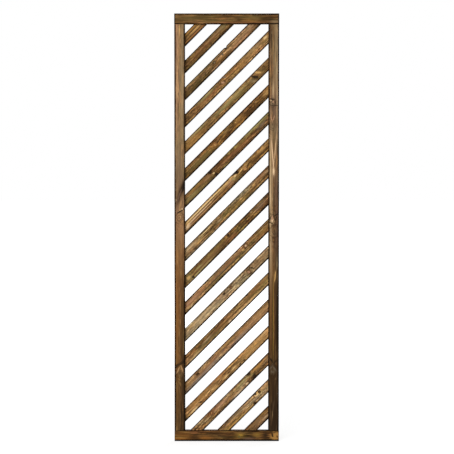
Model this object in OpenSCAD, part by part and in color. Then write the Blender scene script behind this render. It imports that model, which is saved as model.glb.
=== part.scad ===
// Plant trellis panel: softwood slats set on a slant, held in the grooves of a square-jointed frame.
// X runs across the width, Y from the front (-Y) to the back, and Z up from the ground.
// The origin is the middle of the bottom rail's underside.

/* [Panel] */
// Width over the two stiles
panel_w = 440; // [360:5:900]
// Height over the two rails
panel_h = 1800; // [1200:10:2400]

/* [Frame] */
// Width of a stile or rail, seen from the front
frame_face = 45; // [40:1:60]
// Depth of a stile or rail, from front to back
frame_depth = 45; // [40:1:70]
// Radius of the planed edges of the stiles and rails
frame_edge_r = 4.5; // [2:0.5:6]
// Depth of the groove along the inside of the frame
groove_depth = 12; // [8:0.5:16]

/* [Slats] */
// Number of slats
slat_count = 18; // [8:1:24]
// Width of a slat
slat_w = 40; // [25:1:45]
// Thickness of a slat
slat_t = 9; // [7:0.5:12]
// Radius of the planed edges of the slats
slat_edge_r = 3; // [1:0.25:3.25]
// Clear distance from a corner of the frame to the nearest slat, measured square to the slat
corner_gap = 29.6; // [10:0.1:50]
// Slope of the slats, rising to the right
slat_slope = 45; // [38:1:52]
// Height of the slat pattern's middle above the panel's middle
slat_lift = 4.7; // [-20:0.1:20]

/* [Corner screws] */
// Diameter of the plain shank, which passes through the rail
screw_d = 5; // [4:0.5:6]
// Core diameter of the part that holds in the stile's end
screw_core_d = 3.4; // [2.6:0.1:3.8]
// Diameter of the countersunk head
screw_head_d = 9.6; // [8:0.2:11]
// Length of screw in the stile
screw_bite = 45; // [30:1:80]

/* [Brads] */
// Diameter of a brad
brad_d = 1.6; // [1.2:0.1:2.2]
// Diameter of a brad's head
brad_head_d = 3; // [2.6:0.1:4]
// Length of brad past the slat, in the front cheek of the groove
brad_bite = 3; // [1:0.5:8]

/* [Clearances] */
// Play of a slat in the groove's width
groove_play = 0.6; // [0.2:0.1:1.2]
// Gap between a slat's end and the bottom of the groove
slat_end_gap = 2; // [0.5:0.25:4]
// Play of a tenon in the groove's width
tenon_play = 0.4; // [0.1:0.1:1]
// Gap between a tenon's end and the bottom of the groove
tenon_end_gap = 1; // [0.25:0.25:3]
// Play round screws and brads, on the radius
fastener_play = 0.05; // [0.02:0.01:0.2]
// Depth of the screw and brad heads below the surface
head_sink = 0.5; // [0.2:0.1:1.5]

/* [Hidden] */
$fn = 48;
// How far a cutting shape runs past what it cuts
overrun = 1;
// Depth and width of the cross recess in a screw's head, and its length across the head
recess_depth = 2;
recess_w = 1;
recess_len = 5;
// Straight rim of a screw's countersunk head, and the thickness of a brad's head
screw_rim = 0.4;
brad_head_t = 0.8;
// How far a screw's plain shank reaches into the stile
shank_past = 2;
// Lengths of the tapered points
screw_point = 6;
brad_point = 2;

// Inside of the frame
opening_w = panel_w - 2 * frame_face;
opening_h = panel_h - 2 * frame_face;
groove_w = slat_t + groove_play;
cheek_t = (frame_depth - groove_w) / 2;

// Slat pattern, measured from the panel's middle along the line square to the slats, and counted
// from the top left corner
pattern_lift = slat_lift * cos(slat_slope);
pattern_reach = (opening_w * sin(slat_slope) + opening_h * cos(slat_slope)) / 2;
first_place = pattern_reach - corner_gap - slat_w / 2;
slat_pitch = 2 * first_place / (slat_count - 1);
slat_places = [for (i = [0 : slat_count - 1]) pattern_lift + first_place - i * slat_pitch];

// How far a slat reaches into the groove, and the depth in the groove at which its brads sit
slat_seat = groove_depth - slat_end_gap;
brad_inset = slat_seat / 2;

// Screws stand in the flat part of each cheek, in the middle of the stile
screw_x = (panel_w - frame_face) / 2;
screw_y = groove_w / 2 + (cheek_t - frame_edge_r) / 2;
screw_shank = frame_face - head_sink + shank_past;
screw_len = frame_face - head_sink + screw_bite;
brad_len = cheek_t + groove_w + brad_bite - head_sink;

wood_frame = [0.42, 0.30, 0.17];
wood_slat = [0.47, 0.34, 0.20];
steel = [0.62, 0.58, 0.47];

function slat_name(i) = str("slat_", i < 9 ? "0" : "", i + 1);

// Distances along a slat's centre line at which it meets the left, right, bottom and top of a
// frame-shaped line that lies `grow` outside the opening
function meets_left(place, grow) =
    (place * sin(slat_slope) - opening_w / 2 - grow) / cos(slat_slope);
function meets_right(place, grow) =
    (place * sin(slat_slope) + opening_w / 2 + grow) / cos(slat_slope);
function meets_bottom(place, grow) =
    (-place * cos(slat_slope) - opening_h / 2 - grow) / sin(slat_slope);
function meets_top(place, grow) =
    (-place * cos(slat_slope) + opening_h / 2 + grow) / sin(slat_slope);

// Point [x, z] on a slat's centre line
function on_slat(place, along) = [
    along * cos(slat_slope) - place * sin(slat_slope),
    along * sin(slat_slope) + place * cos(slat_slope) + panel_h / 2
];

// A slat's lower end is in the left stile or the bottom rail, and its upper end in the right
// stile or the top rail
function starts_left(place) = meets_left(place, brad_inset) > meets_bottom(place, brad_inset);
function ends_right(place) = meets_right(place, brad_inset) < meets_top(place, brad_inset);
function lower_brad(place) =
    on_slat(place, max(meets_left(place, brad_inset), meets_bottom(place, brad_inset)));
function upper_brad(place) =
    on_slat(place, min(meets_right(place, brad_inset), meets_top(place, brad_inset)));

left_brads = [for (place = slat_places) if (starts_left(place)) lower_brad(place)];
bottom_brads = [for (place = slat_places) if (!starts_left(place)) lower_brad(place)];
right_brads = [for (place = slat_places) if (ends_right(place)) upper_brad(place)];
top_brads = [for (place = slat_places) if (!ends_right(place)) upper_brad(place)];
all_brads = concat(left_brads, right_brads, top_brads, bottom_brads);

module rounded_section(w, d, r) {
    square([w, d - 2 * r], center = true);
    square([w - 2 * r, d], center = true);
    for (x = [-1, 1], y = [-1, 1])
        translate([x * (w / 2 - r), y * (d / 2 - r)]) circle(r = r);
}

// Section of a stile or rail with its groove on the +X side
module grooved_section() {
    difference() {
        rounded_section(frame_face, frame_depth, frame_edge_r);
        translate([frame_face / 2 - groove_depth, -groove_w / 2])
            square([groove_depth + overrun, groove_w]);
    }
}

// Shank of a brad that points along +Z, with its head's outer face at the origin
module brad_shank(play) {
    cylinder(h = brad_len - brad_point, r = brad_d / 2 + play);
    translate([0, 0, brad_len - brad_point])
        cylinder(h = brad_point + play, r1 = brad_d / 2 + play, r2 = play);
}

// Places its children at a brad's head, pointing in from the back at [x, z]
module at_brad(place) {
    translate([place[0], frame_depth / 2 - head_sink, place[1]]) rotate([90, 0, 0]) children();
}

module brad(place) {
    at_brad(place) {
        cylinder(h = brad_head_t, r = brad_head_d / 2);
        brad_shank(0);
    }
}

// Hole that a driven brad leaves, open to the back
module brad_hole(place) {
    at_brad(place) {
        translate([0, 0, -head_sink - overrun])
            cylinder(h = overrun + head_sink + brad_head_t, r = brad_head_d / 2 + fastener_play);
        brad_shank(fastener_play);
    }
}

// Every brad's hole, because a brad at a corner can pass the joint between a stile and a rail
module brad_holes() {
    for (place = all_brads) brad_hole(place);
}

// Screw pointing down -Z with its head's face at the origin, and the rim carried on up by `rise`
module screw(play, rise) {
    sink_h = (screw_head_d - screw_d) / 2;
    translate([0, 0, -screw_rim]) cylinder(h = screw_rim + rise, r = screw_head_d / 2 + play);
    translate([0, 0, -screw_rim - sink_h])
        cylinder(h = sink_h, r1 = screw_d / 2 + play, r2 = screw_head_d / 2 + play);
    translate([0, 0, -screw_shank]) cylinder(h = screw_shank, r = screw_d / 2 + play);
    translate([0, 0, screw_point - screw_len])
        cylinder(h = screw_len - screw_point, r = screw_core_d / 2 + play);
    translate([0, 0, -screw_len - play])
        cylinder(h = screw_point + play, r1 = play, r2 = screw_core_d / 2 + play);
}

module screw_with_recess() {
    difference() {
        screw(0, 0);
        for (turn = [0, 90])
            rotate([0, 0, turn]) translate([-recess_len / 2, -recess_w / 2, -recess_depth])
                cube([recess_len, recess_w, recess_depth + overrun]);
    }
}

// Places its children at the heads of the top rail's four screws
module at_rail_screws() {
    for (x = [-1, 1], y = [-1, 1])
        translate([x * screw_x, y * screw_y, panel_h - head_sink]) children();
}

module screw_hole() {
    screw(fastener_play, head_sink + overrun);
}

// Turns what is drawn at the top end over to the bottom end
module at_bottom() {
    translate([0, 0, panel_h]) rotate([180, 0, 0]) children();
}

// Section of a tenon, from the stile's outer side to the bottom of its groove
module tenon_section() {
    tenon_t = groove_w - tenon_play;
    outer = -frame_face / 2;
    inner = frame_face / 2 - groove_depth;
    polygon([[outer, -tenon_t / 2], [inner, -tenon_t / 2], [inner, tenon_t / 2], [outer, tenon_t / 2]]);
}

// Stile on the left, with its groove facing right and a stub tenon at each end
module stile() {
    tenon_len = groove_depth - tenon_end_gap;
    translate([-panel_w / 2 + frame_face / 2, 0, frame_face]) {
        linear_extrude(opening_h) grooved_section();
        translate([0, 0, -tenon_len]) linear_extrude(opening_h + 2 * tenon_len) tenon_section();
    }
}

module left_stile() {
    color(wood_frame) difference() {
        stile();
        brad_holes();
        at_rail_screws() screw_hole();
        at_bottom() at_rail_screws() screw_hole();
    }
}

module right_stile() {
    color(wood_frame) difference() {
        rotate([0, 0, 180]) stile();
        brad_holes();
        at_rail_screws() screw_hole();
        at_bottom() at_rail_screws() screw_hole();
    }
}

// Rail across the top, with its groove facing down
module rail() {
    translate([-panel_w / 2, 0, panel_h - frame_face / 2])
        rotate([0, 90, 0]) linear_extrude(panel_w) grooved_section();
}

module top_rail() {
    color(wood_frame) difference() {
        rail();
        brad_holes();
        at_rail_screws() screw_hole();
    }
}

module bottom_rail() {
    color(wood_frame) difference() {
        at_bottom() rail();
        brad_holes();
        at_bottom() at_rail_screws() screw_hole();
    }
}

// Slat whose centre line lies at `place`, cut off upright or level where it ends in a groove
module slat(place) {
    bar_len = panel_w + panel_h;
    seat_w = opening_w + 2 * slat_seat;
    seat_h = opening_h + 2 * slat_seat;
    color(wood_slat) difference() {
        intersection() {
            translate([0, 0, panel_h / 2]) rotate([0, -slat_slope, 0])
                translate([-bar_len / 2, 0, place]) rotate([90, 0, 90])
                    linear_extrude(bar_len) rounded_section(slat_t, slat_w, slat_edge_r);
            translate([-seat_w / 2, -frame_depth / 2, panel_h / 2 - seat_h / 2])
                cube([seat_w, frame_depth, seat_h]);
        }
        brad_hole(lower_brad(place));
        brad_hole(upper_brad(place));
    }
}

module top_rail_screws() {
    color(steel) at_rail_screws() screw_with_recess();
}

module bottom_rail_screws() {
    color(steel) at_bottom() at_rail_screws() screw_with_recess();
}

module brads(places) {
    color(steel) for (place = places) brad(place);
}

left_stile();
right_stile();
top_rail();
bottom_rail();
for (i = [0 : slat_count - 1])
    slat(slat_places[i]);
top_rail_screws();
bottom_rail_screws();
brads(left_brads);  // left_stile_brads
brads(right_brads);  // right_stile_brads
brads(top_brads);  // top_rail_brads
brads(bottom_brads);  // bottom_rail_brads
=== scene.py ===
"""Looks of a plant trellis panel: brown-stained softwood slats in a grooved frame.

Each timber is rebuilt over its solid as a lofted mesh, drawn in the timber's own axes in metres:
x along the grain from the timber's middle, y across its face and z out of its front.
"""

import math
from collections import namedtuple

import bmesh
import bpy
import numpy as np
from mathutils import Matrix, Vector


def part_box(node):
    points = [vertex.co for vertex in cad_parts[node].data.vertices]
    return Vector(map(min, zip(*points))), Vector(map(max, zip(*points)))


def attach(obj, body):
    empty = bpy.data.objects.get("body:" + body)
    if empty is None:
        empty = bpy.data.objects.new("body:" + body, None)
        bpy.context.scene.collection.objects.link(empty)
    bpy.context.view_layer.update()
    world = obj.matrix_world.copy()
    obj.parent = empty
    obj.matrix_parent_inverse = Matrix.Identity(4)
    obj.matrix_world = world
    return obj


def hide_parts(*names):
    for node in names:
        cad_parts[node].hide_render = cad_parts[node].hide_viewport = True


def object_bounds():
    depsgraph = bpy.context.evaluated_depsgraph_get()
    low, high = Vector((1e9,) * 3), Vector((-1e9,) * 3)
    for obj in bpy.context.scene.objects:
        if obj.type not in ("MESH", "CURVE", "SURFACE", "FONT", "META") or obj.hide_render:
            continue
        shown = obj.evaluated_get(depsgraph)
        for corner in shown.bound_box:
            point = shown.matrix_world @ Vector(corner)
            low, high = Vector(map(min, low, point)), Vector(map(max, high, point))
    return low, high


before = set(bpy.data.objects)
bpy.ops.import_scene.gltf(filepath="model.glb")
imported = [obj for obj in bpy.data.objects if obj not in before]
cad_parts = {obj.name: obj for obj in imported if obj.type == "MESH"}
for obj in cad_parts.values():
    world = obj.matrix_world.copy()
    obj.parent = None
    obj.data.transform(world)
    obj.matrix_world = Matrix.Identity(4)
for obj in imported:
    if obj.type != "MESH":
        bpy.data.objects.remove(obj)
cad_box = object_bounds()

MM = 0.001
ROOT2 = math.sqrt(2.0)

# Sizes of the timbers that their boxes do not show, as in the solids
FRAME_EDGE_R = 4.5 * MM
SLAT_EDGE_R = 3.0 * MM
GROOVE_W = 9.6 * MM
GROOVE_DEPTH = 12.0 * MM
LIP_EASE = 0.6 * MM
RAIL_EASE = 1.2 * MM
STILE_EASE = 0.6 * MM
TENON_T = 9.2 * MM
TENON_LEN = 11.0 * MM
TENON_ROOT = 2.0 * MM
TENON_SHY = 0.35 * MM
BRAD_INSET = 5.0 * MM
BRAD_HOLE_R = 1.55 * MM
BRAD_HOLE_DEPTH = 1.4 * MM
SCREW_HOLE_R = 4.85 * MM
SCREW_HOLE_DEPTH = 3.6 * MM
HOLE_PAST = 2.0 * MM
HOLE_SIDES = 28
# Side of each frame timber that has the groove, along its y
GROOVE_SIDES = {"left_stile": -1, "right_stile": 1, "top_rail": -1, "bottom_rail": 1}

# Fineness of the lofts
ARC_STEPS = 5
FLAT_STEP = 4.0 * MM
FRAME_RING = 5.0 * MM
SLAT_RING = 4.0 * MM
SMOOTH_ANGLE = math.radians(38)
CHECK_HALF_W = 0.45 * MM
CHECK_CLEAR = 4 * CHECK_HALF_W
# Shares of the ease at a frame timber's end: how far before the end, and how far in
END_STEPS = ((0.0, 1.0), (0.3, 0.3))

# Camera, in front of the panel and a little above its middle
CAMERA_DISTANCE = 10.0
CAMERA_HEIGHT = 1.35
CAMERA_SIDE = 0.0012
VIEW_WIDTH = 1.906
AIM_HEIGHT = 0.9048

# Light: place, size and watts of each lamp
AMBIENT = 0.34
LAMPS = {
    "front_lamp": ((-2.6, -8.0, 3.6), 4.5, 680.0),
    "back_lamp": ((3.0, 8.0, 3.6), 4.5, 460.0),
}
FLOOR_SIZE = 60.0
FLOOR_GLOW = 0.76
FLOOR_FADE = (1.5, 5.0)
FLOOR_TONE = (0.36, 0.36, 0.36, 1.0)

# Places are shares of a timber's half length and half width, sizes are in mm and turns in degrees
Knot = namedtuple("Knot", "along across radius kind stretch turn", defaults=(0.0,))
Stain = namedtuple("Stain", "along across length width strength turn", defaults=(0.0,))
Mark = namedtuple("Mark", "along across length width turn", defaults=(0.0,))
Notch = namedtuple("Notch", "along side length depth")
Check = namedtuple("Check", "face across start end depth")
# Tones are deep, body, light and accent, the pith and a ring are in mm, stains and marks go by tone
Timber = namedtuple(
    "Timber",
    "tones seed pith tilt ring lift knots stains marks notches checks",
    defaults=((0.0, 0.02), 7.2, 1.0, (), {}, {}, (), ()),
)

# Tones of stained and weathered softwood, as sRGB
TONES = {
    "soot": (30, 22, 14),
    "peat": (48, 33, 18),
    "bark": (66, 46, 25),
    "umber": (92, 64, 33),
    "walnut": (113, 82, 48),
    "chestnut": (132, 97, 60),
    "russet": (138, 90, 54),
    "tan": (166, 127, 85),
    "amber": (164, 120, 62),
    "honey": (188, 146, 88),
    "straw": (214, 182, 128),
    "sand": (198, 168, 126),
    "olive": (120, 100, 54),
    "moss": (96, 82, 44),
    "sage": (152, 138, 88),
    "stone": (144, 122, 90),
    "slate": (112, 100, 84),
    "plum": (104, 78, 62),
    "rose": (180, 136, 104),
    "cream": (230, 196, 154),
    "ochre": (150, 116, 48),
    "rust": (136, 88, 38),
    "ash": (114, 105, 96),
}

# A knot's tones, how deep it sinks, how far it covers the grain and how many rings swell round it
KnotKind = namedtuple("KnotKind", "core rim dish cover swell", defaults=(0.0, 0.95, 1.2))
KNOT_KINDS = {
    "dark": KnotKind("bark", "soot", 0.9 * MM),
    "gold": KnotKind("honey", "russet"),
    "red": KnotKind("russet", "bark", 0.4 * MM),
    "grey": KnotKind("stone", "soot"),
    "rose": KnotKind("rose", "umber", cover=0.80, swell=2.0),
    "swirl": KnotKind("stone", "peat", cover=0.15, swell=3.5),
    "black": KnotKind("peat", "soot", 0.9 * MM),
}

FRAME_TIMBERS = {
    "left_stile": Timber(
        "walnut chestnut tan olive", 11, (52, -36), tilt=(0.004, 0.012), ring=8,
        knots=[Knot(0.05, 0.1, 15, "swirl", 1.4, -25), Knot(-0.715, -0.1, 15, "swirl", 1.4, -20)],
        stains={
            "rose": [(0.76, 0.62, 360, 12, 0.65), (0.05, 0.2, 100, 30, 0.6)],
            "stone": [(0.68, -0.45, 420, 12, 0.8), (0.3, -0.1, 200, 30, 0.6)],
            "plum": [(0.19, 0, 110, 30, 0.55)], "tan": [(-0.08, 0.2, 110, 30, 0.5)],
            "russet": [(-0.28, 0.2, 260, 30, 0.6)],
            "rust": [(-0.32, 0.5, 200, 9, 0.6), (-0.62, 0.45, 330, 9, 0.65)],
            "umber": [(-0.42, -0.55, 220, 13, 0.9), (-0.86, 0.45, 200, 12, 0.8)],
            "bark": [
                (0.175, -0.15, 52, 9, 1, -18), (-0.7, -0.55, 350, 13, 0.9), (-0.95, -0.45, 130, 16, 1.1),
            ],
            "peat": [(0.185, -0.3, 44, 7, 1.2, -18), (-0.93, -0.8, 130, 11, 1)],
            "soot": [(0.205, -0.7, 24, 5, 1.2, -10)],
        },
        marks={
            "plum": [(0.155, 0.15, 26, 3.5, -20)],
            "soot": [
                (0.082, -0.1, 19, 2.6, -62), (0.202, -0.74, 20, 3.4, -12), (-0.662, -0.45, 17, 6, -48),
                (-0.68, 0.55, 13, 5, -40),
            ],
            "bark": [(-0.67, 0.05, 22, 4.5, -46)],
            "sand": [(0.19, 0.8, 4, 3), (0.138, 0.75, 5, 3), (0.094, -0.45, 4, 3)],
            "tan": [(-0.7, 0.3, 15, 3, -24), (-0.694, -0.4, 15, 3, 18)],
        },
        checks=[Check("front", 0.25, 0.5, 0.62, 2.2), Check("back", -0.3, -0.2, 0.1, 2.5)],
    ),
    "right_stile": Timber(
        "umber walnut stone plum", 23, (5, -44), tilt=(0.002, -0.018), ring=7,
        knots=[
            Knot(0.612, 0.25, 13, "swirl", 1.2), Knot(0.51, 0.2, 11, "swirl", 2.4),
            Knot(0.046, 0.25, 12, "swirl", 1.5), Knot(-0.014, -0.1, 16, "swirl", 1.6),
            Knot(-0.705, 0.15, 15, "swirl", 1.4),
        ],
        stains={
            "stone": [(0.76, -0.3, 330, 14, 0.75), (0.47, 0, 70, 30, 0.8)],
            "plum": [(0.61, 0.1, 90, 30, 0.8), (0.02, -0.6, 230, 10, 0.9)],
            "tan": [(0.75, 0.85, 300, 5, 0.6)],
            "umber": [
                (-0.24, 0.4, 120, 14, 0.4), (-0.46, 0.5, 190, 12, 0.75), (0.42, 0, 50, 5, 0.75),
                (-0.66, 0.4, 190, 20, 0.6),
            ],
            "walnut": [(-0.26, 0.1, 120, 30, 0.55)],
            "rust": [(-0.46, 0.5, 180, 3.5, 0.6), (-0.84, 0.35, 150, 3.5, 0.4)],
            "sand": [
                (0.72, -0.62, 260, 2.5, 0.65), (0.676, 0.1, 35, 3.5, 0.8), (0.22, 0.62, 210, 8, 1.05),
                (0.02, 0.6, 200, 7, 0.8),
            ],
            "rose": [(0.355, 0.2, 76, 3, 1, 4.6), (0.375, -0.24, 76, 2.8, 0.95, -5.1)],
            "cream": [(0.279, 0, 18, 4.5, 0.8)], "honey": [(-0.237, -0.28, 28, 4, 0.9, -6)],
            "bark": [
                (-0.02, -0.3, 22, 3, 0.85, 30), (-0.26, -0.65, 130, 10, 1), (-0.47, -0.55, 260, 13, 1),
                (-0.78, 0.3, 250, 30, 1.1),
            ],
            "peat": [(-0.52, -0.7, 330, 10, 1.1), (-0.95, 0, 160, 40, 1.15)],
            "slate": [
                (-0.685, 0.42, 15, 3.6, 0.7, -30), (-0.693, -0.18, 14, 3.4, 0.7, 36),
                (-0.708, 0.25, 5, 8, 0.55),
            ],
        },
        marks={
            "soot": [
                (0.634, 0.25, 11, 1.9, 80), (0.631, 0.2, 3.2, 3), (0.6035, -0.1, 20, 1.8, 88),
                (0.066, -0.5, 14, 2.4, -55), (0.048, -0.45, 10, 3, -10), (0.026, 0.55, 9, 1.8, 65),
                (-0.652, 0.4, 13, 3.2, 36),
            ],
            "peat": [
                (0.618, -0.28, 8, 1.9, 20), (0.618, 0.8, 8, 1.9, -20), (0.05, -0.12, 15, 1.9, 16),
                (0.05, 0.62, 13, 1.9, -16), (-0.66, -0.3, 17, 3.6, -44), (-0.44, 0.28, 170, 1.4),
            ],
            "rose": [
                (0.62, 0.12, 4, 3), (0.535, 0.4, 15, 1.6, 14), (0.54, 0.02, 11, 1.5, -16),
                (0.046, 0.26, 13, 4.2),
            ],
            "sand": [(0.626, 0.54, 3.4, 3), (0.375, -0.24, 60, 1.4, -5.1), (0.02, 0.75, 4, 3)],
            "cream": [(0.36, 0.21, 64, 1.6, 4.6), (0.279, 0, 14, 3.2), (0.036, 0.28, 5, 2.8)],
            "honey": [(-0.237, -0.28, 22, 2.6, -6)], "ochre": [(-0.44, 0.08, 180, 1.3)],
        },
        checks=[Check("front", -0.2, 0.28, 0.36, 2), Check("back", 0.2, 0.3, 0.6, 2.5)],
    ),
    "top_rail": Timber(
        "umber walnut chestnut moss", 37, (6, -52), tilt=(0, 0.03), ring=6, lift=0.9,
        stains={
            "umber": [(-0.88, 0, 70, 24, 0.8), (-0.3, 0.5, 110, 8, 0.6)],
            "moss": [(-0.6, 0.2, 90, 12, 0.6)],
            "olive": [(-0.2, -0.45, 60, 6, 0.6), (0.5, 0.2, 36, 8, 0.75)],
            "russet": [(0.15, -0.7, 130, 5, 0.6)], "bark": [(0.68, -0.25, 26, 6, 0.45)],
            "amber": [(0.45, -0.3, 36, 7, 0.45)], "stone": [(0.93, -0.55, 22, 6, 0.75)],
        },
        checks=[Check("front", -0.35, 0.2, 0.75, 2)],
    ),
    "bottom_rail": Timber(
        "bark umber rust olive", 41, (-8, -48), tilt=(0, -0.03), ring=6, lift=1.08,
        stains={
            "rust": [(-0.88, -0.1, 44, 24, 1), (-0.42, -0.4, 34, 8, 0.85)],
            "russet": [(-0.66, 0.72, 40, 4, 0.55)],
            "bark": [(-0.6, 0, 22, 16, 0.8), (-0.12, 0.1, 50, 12, 0.8)],
            "ochre": [(0.25, 0.05, 18, 9, 0.95), (0.58, 0.2, 16, 7, 0.55)],
            "plum": [(0.42, -0.62, 26, 7, 1)], "peat": [(0.74, -0.05, 14, 20, 0.95)],
        },
        marks={
            "russet": [(-0.62, 0.55, 16, 2.4)], "ochre": [(0.27, 0.15, 9, 4)],
            "moss": [(0.235, -0.15, 6, 4.5)], "amber": [(0.93, -0.05, 22, 17)],
            "soot": [(0.875, 0.15, 4, 9, 12)], "bark": [(0.9, 0.6, 10, 2.5), (0.97, -0.15, 3, 6, 20)],
        },
        checks=[Check("front", 0.3, -0.7, -0.3, 2)],
    ),
}

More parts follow.
